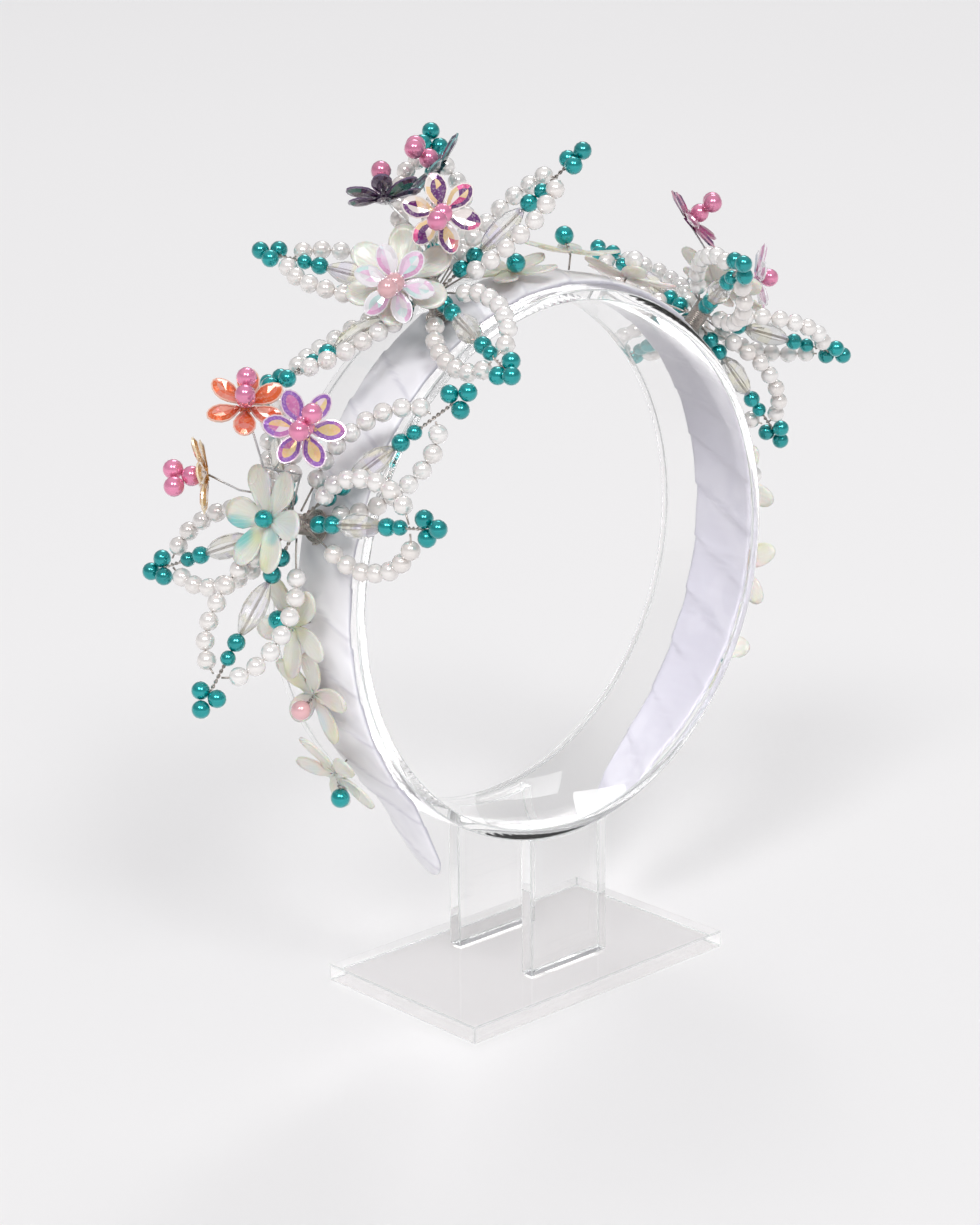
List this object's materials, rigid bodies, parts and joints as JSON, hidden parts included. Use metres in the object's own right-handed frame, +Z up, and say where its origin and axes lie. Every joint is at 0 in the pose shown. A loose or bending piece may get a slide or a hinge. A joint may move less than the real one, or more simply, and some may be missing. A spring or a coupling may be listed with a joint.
{
  "type": "tembleque headband on a clear display stand",
  "caption": "Satin-wrapped headband with beaded trembling flowers and thin sewn flowers, held on a plain clear acrylic display hoop.",
  "frame": {"origin": "middle of the underside of the stand's base plate", "axes": "+Z up, X from ear to ear with the three flower clusters over -X, the top and +X, and -Y towards the front of the stand"},
  "size_m": [0.1858, 0.0813, 0.1967],
  "materials": {
    "clear_acrylic": "clear polished acrylic with bright cut edges",
    "satin": "pale lavender satin ribbon with diagonal wraps",
    "binding_wire": "fine twisted wire, brownish grey",
    "white_pearl": "off-white pearl lustre",
    "teal_pearl": "deep teal pearl lustre",
    "crystal": "clear cut beads with an iridescent coat",
    "pink_pearl": "pink pearl lustre",
    "cream_petal": "translucent cream petals tinted green, pink and blue",
    "bloom_orange": "translucent orange-red, faceted",
    "bloom_violet": "iridescent violet, pink and gold, faceted",
    "bloom_gold": "translucent gold and amber, faceted",
    "bloom_dark": "iridescent dark violet and green, faceted",
    "bloom_teal": "iridescent teal and violet, faceted",
    "bloom_pale": "iridescent pale pink and blue, faceted"
  },
  "bodies": {
    "root": {"stand_base": "clear_acrylic", "stand_post_front": "clear_acrylic", "stand_post_back": "clear_acrylic", "stand_hoop": "clear_acrylic", "satin_band": "satin", "low_binding": "binding_wire", "low_flower": "cream_petal", "low_petal_a_pearls": "white_pearl", "low_petal_a_strand": "teal_pearl", "low_petal_b_pearls": "white_pearl", "low_petal_b_strand": "teal_pearl", "low_petal_c_pearls": "white_pearl", "low_petal_c_strand": "teal_pearl", "low_petal_d_pearls": "white_pearl", "low_petal_d_strand": "teal_pearl", "low_petal_e_pearls": "white_pearl", "low_petal_e_strand": "teal_pearl", "low_bloom_orange": "bloom_orange", "low_bloom_violet": "bloom_violet", "low_bloom_gold": "bloom_gold", "high_binding": "binding_wire", "high_flower": "cream_petal", "high_petal_a_pearls": "white_pearl", "high_petal_a_strand": "teal_pearl", "high_petal_b_pearls": "white_pearl", "high_petal_b_strand": "teal_pearl", "high_petal_c_pearls": "white_pearl", "high_petal_c_strand": "teal_pearl", "high_petal_d_pearls": "white_pearl", "high_petal_d_strand": "teal_pearl", "high_petal_e_pearls": "white_pearl", "high_petal_e_strand": "teal_pearl", "high_bloom_dark": "bloom_dark", "high_bloom_teal": "bloom_teal", "high_bloom_violet": "bloom_violet", "high_bloom_pale": "bloom_pale", "far_binding": "binding_wire", "far_flower": "cream_petal", "far_petal_a_pearls": "white_pearl", "far_petal_a_strand": "teal_pearl", "far_petal_b_pearls": "white_pearl", "far_petal_b_strand": "teal_pearl", "far_petal_c_pearls": "white_pearl", "far_petal_c_strand": "teal_pearl", "far_petal_d_pearls": "white_pearl", "far_petal_d_strand": "teal_pearl", "far_petal_e_pearls": "white_pearl", "far_petal_e_strand": "teal_pearl", "far_bloom_violet": "bloom_violet", "far_bloom_pale": "bloom_pale", "band_flower_left_low": "cream_petal", "band_flower_left_mid": "cream_petal", "band_flower_left_high": "cream_petal", "band_flower_top_left": "cream_petal", "band_flower_top_mid": "cream_petal", "band_flower_top_right": "cream_petal", "band_flower_right_high": "cream_petal", "band_flower_right_mid": "cream_petal", "band_flower_right_low": "cream_petal"}
  },
  "joints": []
}
